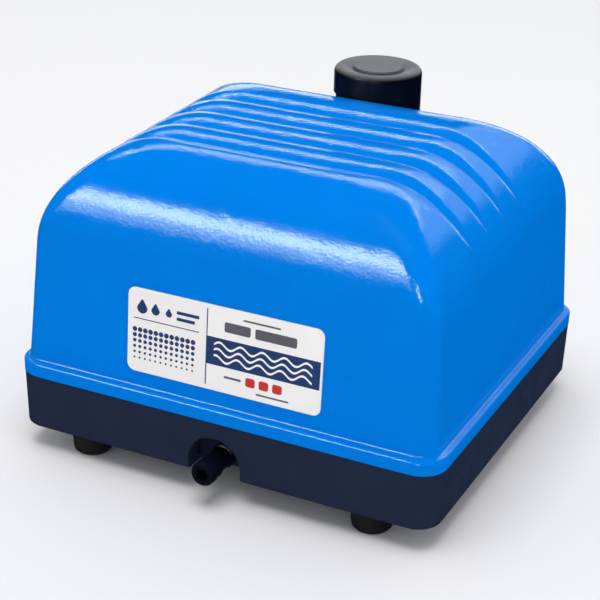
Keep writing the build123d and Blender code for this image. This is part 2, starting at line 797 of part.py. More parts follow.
# ---- frame and dampers -----------------------------------------------------
with BuildPart() as pump_frame:
    block((-upright_out, upright_out), (-frame_half_y, frame_half_y), (frame_z, frame_z + frame_plate))
    for side in (-1, 1):
        block(sorted((side * upright_in, side * upright_out)), (-head_size / 2, head_size / 2),
              (frame_z, axis_z + head_size / 2))
    for x, y in corners(core_hole_x, core_hole_y):
        block((x - core_post, x + core_post), (y - core_post, y + core_post),
              (frame_z, axis_z - stack / 2))
    with BuildSketch(Plane.YZ.offset(-through / 2)):
        with Locations((0, axis_z)):
            Circle(diaphragm_bore)
        with Locations((0, axis_z)):
            with GridLocations(2 * head_screw, 2 * head_screw, 2, 2):
                Circle(head_screw_radius)
    extrude(amount=through, mode=Mode.SUBTRACT)
    disc(frame_z, corners(damper_x, damper_y), damper_stud_radius, frame_plate, Mode.SUBTRACT)
    disc(axis_z - stack / 2, corners(core_hole_x, core_hole_y), core_screw_radius,
         -core_thread - 2, Mode.SUBTRACT)
finish(pump_frame, "pump_frame")

for damper_name, (x, y) in zip(foot_names, corners(damper_x, damper_y)):
    with BuildPart() as damper:
        waist_z = (lid_top_z + frame_z) / 2
        with BuildSketch(upright(x, y)):
            with BuildLine():
                Polyline((0, lid_top_z), (damper_radius, lid_top_z),
                         (damper_radius, lid_top_z + damper_collar))
                ThreePointArc((damper_radius, lid_top_z + damper_collar),
                              (damper_radius - damper_waist, waist_z),
                              (damper_radius, frame_z - damper_collar))
                Polyline((damper_radius, frame_z - damper_collar), (damper_radius, frame_z),
                         (0, frame_z),
                         (0, lid_top_z))
            make_face()
        revolve(axis=Axis((x, y, 0), (0, 0, 1)))
        disc(frame_z, [(x, y)], damper_stud_radius, -damper_stud, Mode.SUBTRACT)
        disc(lid_top_z, [(x, y)], damper_stud_radius, damper_stud, Mode.SUBTRACT)
    finish(damper, f"damper_{damper_name}")

with BuildPart() as damper_screws:
    disc(frame_z + frame_plate, corners(damper_x, damper_y), damper_head_radius,
         damper_head)
    fillet(damper_screws.edges().filter_by(GeomType.CIRCLE).group_by(Axis.Z)[-1], 0.8)
    disc(frame_z + frame_plate, corners(damper_x, damper_y), damper_stud_radius,
         -(frame_plate + damper_stud))
    disc(lid_top_z, corners(damper_x, damper_y), damper_stud_radius, damper_stud)
    disc(lid_top_z, corners(damper_x, damper_y), damper_stud_radius, -lid_thickness)
finish(damper_screws, "damper_screws")

# ---- electromagnets --------------------------------------------------------
for place, side in (("front", -1), ("rear", 1)):
    with BuildPart() as core:
        block((-core_half_x, core_half_x), sorted((side * yoke_y, side * core_back_y)),
              (axis_z - stack / 2, axis_z + stack / 2))
        for left, right in ((-core_half_x, -core_half_x + leg_width),
                            (-centre_leg / 2, centre_leg / 2),
                            (core_half_x - leg_width, core_half_x)):
            block((left, right), sorted((side * pole_y, side * (yoke_y + 1))),
                  (axis_z - stack / 2, axis_z + stack / 2))
        disc(axis_z - stack / 2, [(-core_hole_x, side * core_hole_y),
                                  (core_hole_x, side * core_hole_y)],
             core_screw_radius + clearance, stack, Mode.SUBTRACT)
    finish(core, f"core_{place}")

    with BuildPart() as bobbin:
        near = side * (pole_y + bobbin_front_gap)
        far = side * (yoke_y - bobbin_back_gap)
        rim = coil_thickness + bobbin_rim
        for start, end, grow in ((near, near + side * bobbin_flange, rim), (near, far, bobbin_wall),
                                 (far - side * bobbin_flange, far, rim)):
            block((-centre_leg / 2 - grow, centre_leg / 2 + grow), sorted((start, end)),
                  (axis_z - stack / 2 - grow, axis_z + stack / 2 + grow))
        block((-centre_leg / 2 - bobbin_gap, centre_leg / 2 + bobbin_gap),
              (-through / 2, through / 2),
              (axis_z - stack / 2 - bobbin_gap, axis_z + stack / 2 + bobbin_gap), Mode.SUBTRACT)
    finish(bobbin, f"bobbin_{place}")

    with BuildPart() as coil:
        coil_plane = Plane.XZ.offset(-(near + side * bobbin_flange))
        with BuildSketch(coil_plane):
            with Locations((0, axis_z)):
                RectangleRounded(centre_leg + 2 * coil_thickness, stack + 2 * coil_thickness,
                                 coil_corner)
                Rectangle(centre_leg + 2 * bobbin_wall, stack + 2 * bobbin_wall, mode=Mode.SUBTRACT)
        extrude(amount=-side * (abs(far - near) - 2 * bobbin_flange))
    finish(coil, f"coil_{place}")

with BuildPart() as core_screws:
    disc(axis_z + stack / 2, corners(core_hole_x, core_hole_y), core_head_radius, core_head)
    fillet(core_screws.edges().filter_by(GeomType.CIRCLE).group_by(Axis.Z)[-1], 0.8)
    disc(axis_z + stack / 2, corners(core_hole_x, core_hole_y), core_screw_radius,
         -stack - core_thread)
finish(core_screws, "core_screws")

# ---- armature --------------------------------------------------------------
with BuildPart() as armature:
    with BuildSketch(Plane.XZ.offset(-armature_half_y)):
        with Locations((0, axis_z)):
            RectangleRounded(2 * armature_half_x, 2 * armature_half_z, armature_corner)
            with Locations((-magnet_x, 0), (magnet_x, 0)):
                Rectangle(magnet_width, magnet_height, mode=Mode.SUBTRACT)
    extrude(amount=2 * armature_half_y)
    with BuildSketch(Plane.YZ.offset(-armature_half_x - 1)):
        with Locations((0, axis_z)):
            Circle(stud_radius)
    extrude(amount=1 + stud_grip, mode=Mode.SUBTRACT)
    with BuildSketch(Plane.YZ.offset(armature_half_x + 1)):
        with Locations((0, axis_z)):
            Circle(stud_radius)
    extrude(amount=-1 - stud_grip, mode=Mode.SUBTRACT)
finish(armature, "armature")

for place, side in (("left", -1), ("right", 1)):
    with BuildPart() as magnet:
        block(sorted((side * magnet_x - magnet_width / 2, side * magnet_x + magnet_width / 2)),
              (-armature_half_y, armature_half_y),
              (axis_z - magnet_height / 2, axis_z + magnet_height / 2))
    finish(magnet, f"magnet_{place}")

with BuildPart() as armature_studs:
    for side in (-1, 1):
        with BuildSketch(Plane.YZ.offset(side * (armature_half_x - stud_grip))):
            with Locations((0, axis_z)):
                Circle(stud_radius)
        extrude(amount=side * (stud_end_x - armature_half_x + stud_grip))
finish(armature_studs, "armature_studs")

with BuildPart() as clamp_discs:
    for side in (-1, 1):
        for start, amount in ((upright_out, -disc_thickness), (head_in, disc_thickness)):
            with BuildSketch(Plane.YZ.offset(side * start)):
                with Locations((0, axis_z)):
                    Circle(disc_radius)
                    Circle(stud_radius, mode=Mode.SUBTRACT)
            extrude(amount=side * amount)
finish(clamp_discs, "clamp_discs")

with BuildPart() as stud_nuts:
    for side in (-1, 1):
        with BuildSketch(Plane.YZ.offset(side * (head_in + disc_thickness))):
            with Locations((0, axis_z)):
                RegularPolygon(nut_radius, 6)
                Circle(stud_radius, mode=Mode.SUBTRACT)
        extrude(amount=side * nut_thickness)
finish(stud_nuts, "stud_nuts")

# ---- diaphragms, pump heads and valves -------------------------------------
for place, side in (("left", -1), ("right", 1)):
    with BuildPart() as diaphragm:
        with BuildSketch(Plane.XZ):
            with BuildLine():
                x0 = upright_out
                x1 = head_in
                Polyline((x0, axis_z + diaphragm_radius), (x0, axis_z + roll_outer))
                ThreePointArc((x0, axis_z + roll_outer), (x0 - roll_bulge, axis_z + roll_middle),
                              (x0, axis_z + roll_inner))
                Polyline((x0, axis_z + roll_inner), (x0, axis_z + stud_radius),
                         (x1, axis_z + stud_radius), (x1, axis_z + roll_inner))
                ThreePointArc((x1, axis_z + roll_inner), (x1 - roll_bulge, axis_z + roll_middle),
                              (x1, axis_z + roll_outer))
                Polyline((x1, axis_z + roll_outer), (x1, axis_z + diaphragm_radius),
                         (x0, axis_z + diaphragm_radius))
            make_face()
        revolve(axis=Axis((0, 0, axis_z), (1, 0, 0)))
        if side < 0:
            mirror(about=Plane.YZ, mode=Mode.REPLACE)
    finish(diaphragm, f"diaphragm_{place}")

    with BuildPart() as head:
        with BuildSketch(Plane.YZ.offset(head_in)):
            with Locations((0, axis_z)):
                RectangleRounded(head_size, head_size, head_corner)
        extrude(amount=head_out - head_in)
        with BuildSketch(Plane.YZ.offset(head_in)):
            with Locations((0, axis_z)):
                Circle(chamber_radius)
        extrude(amount=valve_wall_x - head_in, mode=Mode.SUBTRACT)
        for middle_z in (axis_z + plenum_z, axis_z - plenum_z):
            with BuildSketch(Plane.YZ.offset(head_out)):
                with Locations((0, middle_z)):
                    RectangleRounded(2 * plenum_half_y, plenum_height, plenum_corner)
            extrude(amount=-(head_out - valve_wall_x - valve_wall), mode=Mode.SUBTRACT)
            port_at = axis_z + port_z if middle_z > axis_z else axis_z - port_z
            with BuildSketch(Plane.YZ.offset(head_out)):
                with Locations((-port_pitch, port_at), (0, port_at), (port_pitch, port_at)):
                    Circle(port_radius)
            extrude(amount=-(head_out - valve_wall_x + 1), mode=Mode.SUBTRACT)
        with BuildSketch(Plane.XY.offset(axis_z - head_size / 2 + 1)):
            with Locations((spigot_x, spigot_y)):
                Circle(spigot_radius)
        extrude(amount=-spigot_length - 1)
        with BuildSketch(Plane.XY.offset(axis_z - plenum_z)):
            with Locations((spigot_x, spigot_y)):
                Circle(spigot_bore)
        extrude(amount=-head_size / 2, mode=Mode.SUBTRACT)
        with BuildSketch(Plane.YZ.offset(head_in)):
            with Locations(*[(y, axis_z + z) for y, z in corners(head_screw, head_screw)]):
                Circle(head_screw_radius + clearance)
        extrude(amount=head_out - head_in, mode=Mode.SUBTRACT)
        if side < 0:
            mirror(about=Plane.YZ, mode=Mode.REPLACE)
    finish(head, f"pump_head_{place}")

    with BuildPart() as head_cover:
        with BuildSketch(Plane.YZ.offset(head_out)):
            with Locations((0, axis_z)):
                RectangleRounded(head_size, head_size, head_corner)
            with Locations(*[(y, axis_z + z) for y, z in corners(head_screw, head_screw)]):
                Circle(head_screw_radius + clearance, mode=Mode.SUBTRACT)
            with Locations((0, axis_z + plenum_z)):
                with GridLocations(vent_pitch_y, vent_pitch_z, 4, 2):
                    Circle(vent_radius, mode=Mode.SUBTRACT)
        extrude(amount=cover_thickness)
        if side < 0:
            mirror(about=Plane.YZ, mode=Mode.REPLACE)
    finish(head_cover, f"head_cover_{place}")

    # the inlet flap lies inside the chamber, the outlet flap on the far side of the wall
    for kind, up, face_x, away in (("inlet", 1, valve_wall_x, -1),
                                   ("outlet", -1, valve_wall_x + valve_wall, 1)):
        hinge_z = axis_z + up * hinge_offset
        hinge_x = face_x + away * (bead_radius + flap_gap)
        with BuildPart() as flap:
            with BuildSketch(Plane.XZ.offset(flap_half_y)):
                with Locations((hinge_x, hinge_z)):
                    Circle(bead_radius)
                near_x = face_x + away * flap_gap
                with Locations((near_x + away * flap_thickness / 2,
                                (hinge_z + axis_z + up * flap_end) / 2)):
                    Rectangle(flap_thickness, abs(hinge_z - axis_z - up * flap_end))
            extrude(amount=-2 * flap_half_y)
            if side < 0:
                mirror(about=Plane.YZ, mode=Mode.REPLACE)
        finish(flap, f"{kind}_flap_{place}")

with BuildPart() as flap_keepers:
    for up, face_x, away in ((1, valve_wall_x, -1), (-1, valve_wall_x + valve_wall, 1)):
        hinge_z = axis_z + up * hinge_offset
        hinge_x = face_x + away * (bead_radius + flap_gap)
        with BuildSketch(Plane.XZ.offset(flap_half_y)):
            with Locations((face_x + away * keeper_depth / 2, hinge_z + up * keeper_shift)):
                Rectangle(keeper_depth, keeper_height)
            with Locations((hinge_x, hinge_z)):
                Circle(bead_radius + keeper_gap, mode=Mode.SUBTRACT)
            with Locations((hinge_x, hinge_z - up * 2)):
                Rectangle(4 * keeper_depth, 4, mode=Mode.SUBTRACT)
        extrude(amount=-2 * flap_half_y)
    mirror(about=Plane.YZ)
finish(flap_keepers, "flap_keepers")

with BuildPart() as head_screws:
    for radius, amount in ((head_screw_head_radius, head_screw_head),
                           (head_screw_radius, -head_screw_length)):
        with BuildSketch(Plane.YZ.offset(head_out + cover_thickness)):
            with Locations(*[(y, axis_z + z) for y, z in corners(head_screw, head_screw)]):
                Circle(radius)
        extrude(amount=amount)
    mirror(about=Plane.YZ)
finish(head_screws, "head_screws")

for place, side in (("left", -1), ("right", 1)):
    with BuildPart() as hose:
        disc(lid_top_z + hose_gap, [(side * spigot_x, spigot_y)], hose_radius,
             axis_z - head_size / 2 - lid_top_z - 2 * hose_gap)
        disc(lid_top_z, [(side * spigot_x, spigot_y)], spigot_radius,
             axis_z - head_size / 2 - lid_top_z, Mode.SUBTRACT)
    finish(hose, f"air_hose_{place}")
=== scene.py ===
import math
import random
from collections import namedtuple

import bmesh
import bpy
import numpy as np
from mathutils import Matrix, Vector


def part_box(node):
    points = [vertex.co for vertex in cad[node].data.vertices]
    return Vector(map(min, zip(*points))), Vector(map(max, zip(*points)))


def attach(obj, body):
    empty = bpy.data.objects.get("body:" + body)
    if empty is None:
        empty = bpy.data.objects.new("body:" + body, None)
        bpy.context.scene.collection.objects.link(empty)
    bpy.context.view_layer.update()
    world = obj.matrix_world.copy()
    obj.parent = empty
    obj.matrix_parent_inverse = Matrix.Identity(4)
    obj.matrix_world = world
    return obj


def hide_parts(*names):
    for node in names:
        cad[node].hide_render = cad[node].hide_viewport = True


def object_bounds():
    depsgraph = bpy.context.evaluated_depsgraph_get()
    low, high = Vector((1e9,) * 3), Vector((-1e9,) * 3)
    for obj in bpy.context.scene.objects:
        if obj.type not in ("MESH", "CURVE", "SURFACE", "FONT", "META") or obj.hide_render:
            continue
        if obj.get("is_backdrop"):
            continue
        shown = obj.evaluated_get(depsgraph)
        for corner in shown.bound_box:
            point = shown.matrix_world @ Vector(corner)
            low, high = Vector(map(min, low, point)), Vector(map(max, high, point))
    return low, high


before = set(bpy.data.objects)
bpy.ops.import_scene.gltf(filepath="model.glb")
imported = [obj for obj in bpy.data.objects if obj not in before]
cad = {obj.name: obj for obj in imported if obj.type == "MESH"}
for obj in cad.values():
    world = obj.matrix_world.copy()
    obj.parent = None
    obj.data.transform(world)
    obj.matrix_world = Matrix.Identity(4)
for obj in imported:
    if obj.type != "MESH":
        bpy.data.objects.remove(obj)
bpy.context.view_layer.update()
MM = 0.001


def box_mm(node):
    """The lowest and highest corners of a CAD node, in millimetres."""
    return np.round(np.array(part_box(node)) / MM, 2)


# ---- sizes of the cover, in millimetres: its box first, then its form ---------------
cover_low, cover_high = box_mm("upper_cover")
CASE_WIDTH, CASE_DEPTH = (cover_high - cover_low)[:2]
SPLIT_Z = cover_low[2]
CAP_Y = box_mm("filter_cap").mean(axis=0)[1]
WELL_FLOOR = box_mm("filter_seat")[0][2]
LIP_HEIGHT = 6.4
LIP_RADIUS = 11.8
LIP_EDGE = 1.3
LIP_FOOT = 0.35
COVE = 1.3
WALL = 3.0
ROOF = 4.5
WALL_INSET = 3.3
WALL_DRAFT = 0.0617
CORNER_RADIUS = 7.0
CORNER_GROWTH = 0.25
CREST_Z = 142.5
CREST_SLOPE = 0.0367
SIDE_SHOULDER, FRONT_SHOULDER, REAR_SHOULDER = 43.4, 36.1, 52.9
VALLEY_DEPTH = 2.0
RIB_PITCH = 18.8
FIRST_VALLEY = -39.9
RIB_COUNT = 3
FRONT_RUN = 14.1
SKIN = 0.1
RIB_FADE = 5.0
SWEEP_END = math.cos(math.radians(84))
LEAN = 14.0
LEAN_START, LEAN_END = math.radians(34), math.radians(84)
WELL_RADIUS = 22.0
BOSS_RIM = 6.0
BOSS_BLEND = 3.0
BOSS_TAPER = math.tan(math.radians(24))
INTAKE_RADIUS = 8.0

rear_start = CASE_DEPTH / 2 - WALL_INSET - WALL_DRAFT * (CREST_Z - SPLIT_Z) - REAR_SHOULDER
MID_CREST = CREST_Z - CREST_SLOPE * rear_start
SHOULDER_Z = MID_CREST - REAR_SHOULDER
ROOF_X = (CASE_WIDTH / 2 - WALL_INSET - WALL_DRAFT * (CREST_Z - SPLIT_Z - LIP_HEIGHT)
          - SIDE_SHOULDER)


# ---- materials ---------------------------------------------------------------
class Nodes:
    """A small helper that adds and links shader nodes."""

    def __init__(self, name):
        self.material = bpy.data.materials.new(name)
        self.material.use_nodes = True
        self.tree = self.material.node_tree
        self.shader = self.tree.nodes["Principled BSDF"]
        self.place = self.add("ShaderNodeTexCoord").outputs["Object"]

    def add(self, kind, **values):
        node = self.tree.nodes.new(kind)
        for key, value in values.items():
            setattr(node, key, value)
        return node

    def link(self, source, target):
        self.tree.links.new(source, target)

    def noise(self, size_mm, detail=2.0, rough=0.5):
        node = self.add("ShaderNodeTexNoise")
        node.inputs["Scale"].default_value = 1 / (size_mm * MM)
        node.inputs["Detail"].default_value = detail
        node.inputs["Roughness"].default_value = rough
        self.link(self.place, node.inputs["Vector"])
        return node.outputs["Fac"]

    def spread(self, value, low, high, start=0.3, end=0.7):
        node = self.add("ShaderNodeMapRange")
        node.inputs["From Min"].default_value = start
        node.inputs["From Max"].default_value = end
        node.inputs["To Min"].default_value = low
        node.inputs["To Max"].default_value = high
        self.link(value, node.inputs["Value"])
        return node.outputs["Result"]

    def mix(self, factor, first, second):
        node = self.add("ShaderNodeMix", data_type="RGBA")
        self.link(factor, node.inputs["Factor"])
        for socket, colour in (("A", first), ("B", second)):
            target = [s for s in node.inputs if s.name == socket and s.type == "RGBA"][0]
            target.default_value = (*colour, 1)
        return [s for s in node.outputs if s.type == "RGBA"][0]

    def bump(self, height, depth_mm, after=None):
        node = self.add("ShaderNodeBump")
        node.inputs["Distance"].default_value = depth_mm * MM
        self.link(height, node.inputs["Height"])
        if after is not None:
            self.link(after, node.inputs["Normal"])
        return node.outputs["Normal"]

    def colour(self, value):
        self.link(value, self.shader.inputs["Base Color"])

    def normal(self, value):
        self.link(value, self.shader.inputs["Normal"])

    def set(self, **values):
        for key, value in values.items():
            self.shader.inputs[key.replace("_", " ")].default_value = value


def surface(name, colour, shade, roughness, spread=0.06, mottle=18.0, grain=0.7, depth=0.02,
            metallic=0.0, specular=0.5):
    """A mottled colour, uneven roughness and a fine grain: plastics, rubbers and castings."""
    n = Nodes(name)
    cloud = n.noise(mottle, detail=4.0, rough=0.6)
    n.colour(n.mix(n.spread(cloud, 0.0, 1.0), colour, shade))
    n.link(n.spread(cloud, roughness - spread, roughness + spread), n.shader.inputs["Roughness"])
    n.normal(n.bump(n.noise(grain, detail=3.0, rough=0.6), depth))
    n.set(Metallic=metallic, Specular_IOR_Level=specular)
    return n.material


def enamel(name):
    """Thick glossy blue enamel with an orange peel in two sizes."""
    n = Nodes(name)
    cloud = n.noise(30.0, detail=3.0)
    n.colour(n.mix(n.spread(cloud, 0.0, 1.0), (0.0, 0.20, 0.74), (0.0, 0.19, 0.70)))
    n.link(n.spread(cloud, 0.05, 0.08), n.shader.inputs["Roughness"])
    coarse = n.bump(n.noise(5.0, detail=1.0, rough=0.4), depth_mm=0.13)
    n.normal(n.bump(n.noise(1.1, rough=0.6), depth_mm=0.10, after=coarse))
    n.set(IOR=1.45)
    return n.material


def top_lit_plastic(name, colour, top_sheen, roughness):
    """Dark moulded plastic whose faces are painted grey as they turn upwards: a painted sheen of
    the light from above.
    """
    n = Nodes(name)
    facing = n.add("ShaderNodeSeparateXYZ")
    n.link(n.add("ShaderNodeNewGeometry").outputs["Normal"], facing.inputs[0])
    # painted sheen: the more a face points up, the nearer its colour goes to the pale grey
    upward_share = n.spread(facing.outputs["Z"], 0.0, 1.0, start=0.35, end=0.97)
    n.colour(n.mix(upward_share, colour, top_sheen))
    cloud = n.noise(9.0, detail=4.0, rough=0.6)
    n.link(n.spread(cloud, roughness - 0.05, roughness + 0.05), n.shader.inputs["Roughness"])
    n.normal(n.bump(n.noise(0.6, detail=3.0, rough=0.6), depth_mm=0.02))
    n.set(Specular_IOR_Level=0.14)
    return n.material


WAVE_PERIOD = math.tau / 20      # the wave texture's period at a scale of 1


def banded(name, colour, shade, axis, pitch_mm, depth, roughness):
    """Parallel metal bands along one axis: wound wire or stacked sheet."""
    n = Nodes(name)
    wave = n.add("ShaderNodeTexWave", wave_type="BANDS", bands_direction=axis)
    wave.inputs["Scale"].default_value = 1 / (pitch_mm * MM) * WAVE_PERIOD
    wave.inputs["Distortion"].default_value = 0.3
    wave.inputs["Detail"].default_value = 1.0
    n.link(n.place, wave.inputs["Vector"])
    n.colour(n.mix(wave.outputs["Fac"], shade, colour))
    n.link(n.spread(n.noise(6.0), roughness - 0.05, roughness + 0.08), n.shader.inputs["Roughness"])
    n.normal(n.bump(wave.outputs["Fac"], depth))
    n.set(Metallic=1.0)
    return n.material


paint = enamel("cover_enamel")
tray_plastic = surface("tray_plastic", (0.017, 0.025, 0.055), (0.014, 0.021, 0.046), 0.36,
                       grain=0.5, depth=0.014, specular=0.06)
# the filter cap: its top is painted grey as a painted sheen from above, its sides stay dark
cap_plastic = top_lit_plastic("cap_plastic", (0.0015, 0.002, 0.007), (0.15, 0.15, 0.16), 0.38)
nozzle_plastic = surface("nozzle_plastic", (0.003, 0.004, 0.010), (0.002, 0.003, 0.008), 0.34,
                         grain=0.6, depth=0.01, specular=0.16)
dark_plastic = surface("dark_plastic", (0.014, 0.014, 0.015), (0.010, 0.010, 0.011), 0.45)
foot_rubber = surface("foot_rubber", (0.004, 0.005, 0.006), (0.007, 0.008, 0.008), 0.72,
                      grain=0.9, depth=0.04, specular=0.25)
grey_plastic = surface("grey_plastic", (0.30, 0.30, 0.28), (0.26, 0.26, 0.245), 0.42)
pale_plastic = surface("pale_plastic", (0.62, 0.60, 0.52), (0.56, 0.54, 0.46), 0.35)
flap_rubber = surface("flap_rubber", (0.10, 0.022, 0.010), (0.08, 0.018, 0.008), 0.6)
zinc = surface("zinc_steel", (0.62, 0.62, 0.60), (0.50, 0.50, 0.50), 0.30, mottle=3.0,
               grain=0.5, depth=0.012, metallic=1.0)
cast_aluminium = surface("cast_aluminium", (0.60, 0.61, 0.62), (0.50, 0.51, 0.52), 0.46,
                         grain=0.8, depth=0.05, metallic=1.0)
turned_aluminium = surface("turned_aluminium", (0.68, 0.69, 0.70), (0.60, 0.61, 0.62), 0.28,
                           grain=0.4, depth=0.01, metallic=1.0)
ferrite = surface("ferrite", (0.035, 0.035, 0.038), (0.025, 0.025, 0.028), 0.55, depth=0.04)
brass = surface("brass", (0.72, 0.50, 0.18), (0.60, 0.40, 0.14), 0.28, mottle=2.0, metallic=1.0)
copper = banded("wound_copper", (0.62, 0.20, 0.07), (0.20, 0.05, 0.02), "Y", 0.9, 0.25, 0.30)
laminated = banded("laminated_steel", (0.24, 0.25, 0.27), (0.12, 0.12, 0.13), "Z", 1.2, 0.10, 0.38)
foam_grey = surface("open_foam", (0.020, 0.020, 0.021), (0.045, 0.045, 0.046), 0.95, mottle=1.6,
                    grain=1.1, depth=0.6)

wear = {
    "base_tray": tray_plastic, "filter_cap": cap_plastic, "outlet_nozzle": nozzle_plastic,
    "case_gasket": foot_rubber, "nozzle_seal": foot_rubber, "tank_lid": dark_plastic,
    "cable_gland": dark_plastic, "gland_locknut": dark_plastic, "filter_seat": dark_plastic,
    "terminal_block": pale_plastic, "terminal_screws": brass, "pump_frame": cast_aluminium,
    "core_front": laminated, "core_rear": laminated, "bobbin_front": pale_plastic,
    "bobbin_rear": pale_plastic, "coil_front": copper, "coil_rear": copper,
    "armature": turned_aluminium, "magnet_left": ferrite, "magnet_right": ferrite,
    "clamp_discs": turned_aluminium, "flap_keepers": grey_plastic,
}
for prefix, look in (("foot_", foot_rubber), ("damper_", foot_rubber), ("diaphragm_", foot_rubber),
                     ("air_hose_", foot_rubber), ("pump_head_", cast_aluminium),
                     ("head_cover_", cast_aluminium), ("inlet_flap_", flap_rubber),
                     ("outlet_flap_", flap_rubber)):
    for name in cad:
        if name.startswith(prefix):
            wear[name] = look
for name in cad:
    if name.endswith(("screws", "studs", "nuts")) and name != "terminal_screws":
        wear[name] = zinc
for name, look in wear.items():
    cad[name].data.materials.clear()
    cad[name].data.materials.append(look)


# ---- mesh helpers --------------------------------------------------------------
def weld(mesh):
    """Join points that coincide, and drop the slivers left between them."""
    bmesh.ops.remove_doubles(mesh, verts=mesh.verts, dist=2e-6)
    bmesh.ops.dissolve_degenerate(mesh, edges=mesh.edges, dist=1e-7)


def piece(name, mesh, look):
    """A visible piece of the case from a bmesh in metres."""
    bmesh.ops.recalc_face_normals(mesh, faces=mesh.faces)
    data = bpy.data.meshes.new(name)
    mesh.to_mesh(data)
    mesh.free()
    obj = bpy.data.objects.new(name, data)
    bpy.context.scene.collection.objects.link(obj)
    data.materials.append(look)
    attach(obj, "case")
    return obj


def shade(obj, angle):
    """Smooth shading with edges sharper than an angle kept crisp."""
    obj.data.polygons.foreach_set("use_smooth", [True] * len(obj.data.polygons))
    obj.data.set_sharp_from_angle(angle=math.radians(angle))


# ---- cover: the form as a field, positive outside --------------------------------
def round_over(left, radius):
    """How far a shoulder has come in, at a height left below the top."""
    rise = np.clip(radius - left, 0, radius)
    return radius - np.sqrt(np.maximum(radius**2 - rise**2, 0))


def rounded(x, y, half_x, half_y, corner):
    """Distance outside a rectangle with round corners, seen from above."""
    qx = np.abs(x) - half_x + corner
    qy = np.abs(y) - half_y + corner
    return (np.hypot(np.maximum(qx, 0), np.maximum(qy, 0)) + np.minimum(np.maximum(qx, qy), 0)
            - corner)


def form(x, y, z, inset=0.0, top_inset=0.0):
    """Distance outside the cover's walls, shoulders and roof."""
    rise = np.clip((z - SPLIT_Z) / (SHOULDER_Z - SPLIT_Z), 0, 1)
    level = z - CREST_SLOPE * y * rise
    base = inset + WALL_INSET + WALL_DRAFT * (level - SPLIT_Z - LIP_HEIGHT)
    left = MID_CREST - top_inset - level
    side, front, rear = (round_over(left, radius - top_inset)
                         for radius in (SIDE_SHOULDER, FRONT_SHOULDER, REAR_SHOULDER))
    half_x = CASE_WIDTH / 2 - base - side
    front_y = -CASE_DEPTH / 2 + base + front
    rear_y = CASE_DEPTH / 2 - base - rear
    corner = CORNER_RADIUS - inset + CORNER_GROWTH * side
    plan = rounded(x, y - (front_y + rear_y) / 2, half_x, (rear_y - front_y) / 2, corner)
    return np.maximum(plan, -left)


def arc_height(y, first, middle, last):
    """Height at y of the circle arc through three points."""
    (ax, ay), (bx, by), (cx, cy) = first, middle, last
    d = 2 * (ax * (by - cy) + bx * (cy - ay) + cx * (ay - by))
    ux = ((ax**2 + ay**2) * (by - cy) + (bx**2 + by**2) * (cy - ay)
          + (cx**2 + cy**2) * (ay - by)) / d
    uy = ((ax**2 + ay**2) * (cx - bx) + (bx**2 + by**2) * (ax - cx)
          + (cx**2 + cy**2) * (bx - ax)) / d
    radius = math.hypot(ax - ux, ay - uy)
    return uy + np.sqrt(np.maximum(radius**2 - (y - ux)**2, 0))


run_start = FIRST_VALLEY - FRONT_RUN
last_valley = FIRST_VALLEY + RIB_COUNT * RIB_PITCH
run_end = last_valley + RIB_PITCH / 2
bend = (FRONT_RUN**2 + (VALLEY_DEPTH + SKIN)**2) / 2 / (VALLEY_DEPTH + SKIN)


FAR = 9.0        # off the form by more than any hollow's depth


def rib_line(y):
    """Height of the rib hollows against the crest; far above it outside the ribs."""
    height = np.full(np.shape(y), FAR)
    run = (y >= run_start) & (y <= FIRST_VALLEY)
    drop = bend - np.sqrt(np.maximum(bend**2 - (y - run_start)**2, 0))
    height = np.where(run, SKIN - drop, height)
    for rib in range(RIB_COUNT):
        a = FIRST_VALLEY + rib * RIB_PITCH
        b = a + RIB_PITCH
        arc = arc_height(y, (a, -VALLEY_DEPTH), ((a + b) / 2, -SKIN), (b, -VALLEY_DEPTH))
        height = np.where((y >= a) & (y <= b), arc, height)
    arc = arc_height(y, (last_valley, -VALLEY_DEPTH),
                     (last_valley + RIB_PITCH / 4, -VALLEY_DEPTH / 4), (run_end, SKIN))
    return np.where((y >= last_valley) & (y <= run_end), arc, height)


def lean_back(turn):
    """How far a rib has swung rearwards at an angle down the side shoulder."""
    share = np.clip((turn - LEAN_START) / (LEAN_END - LEAN_START), 0, 1)
    return LEAN * share**2


def ribbed(x, y, z):
    """The cover with its rib hollows, and the filter boss at the rear shoulder."""
    level = z - CREST_SLOPE * y
    reach = SIDE_SHOULDER + RIB_FADE
    above = level - MID_CREST + reach
    beside = np.maximum(np.abs(x) - ROOF_X, 0)
    over = np.hypot(beside, above) - reach - rib_line(y - lean_back(np.arctan2(beside, above)))
    over = np.where(above > reach * SWEEP_END, over, -FAR)
    body = np.maximum(form(x, y, z), over)
    radius = WELL_RADIUS - np.maximum(WELL_FLOOR - BOSS_RIM - z, 0) * BOSS_TAPER
    boss = np.maximum(np.hypot(x, y - CAP_Y) - radius, z - WELL_FLOOR)
    share = np.clip(0.5 + 0.5 * (boss - body) / BOSS_BLEND, 0, 1)
    return boss * (1 - share) + body * share - BOSS_BLEND * share * (1 - share)


def cavity(x, y, z):
    """The cover's hollow inside, which stops short of the well's floor."""
    return np.maximum(form(x, y, z, WALL, ROOF), z - WELL_FLOOR + WALL)


def lip(x, y, z):
    """The upright band round the cover's foot."""
    return rounded(x, y, CASE_WIDTH / 2, CASE_DEPTH / 2, LIP_RADIUS)


RAY_LENGTH = 170.0
HALVINGS = 44


def cast(field, start, direction, target=0.0):
    """The point on each ray where a field reaches a value, by halving."""
    low = np.zeros(len(start))
    high = np.full(len(start), RAY_LENGTH)
    for _ in range(HALVINGS):
        middle = (low + high) / 2
        p = start + direction * middle[:, None]
        inside = field(p[:, 0], p[:, 1], p[:, 2]) < target
        low = np.where(inside, middle, low)
        high = np.where(inside, high, middle)
    return start + direction * low[:, None]


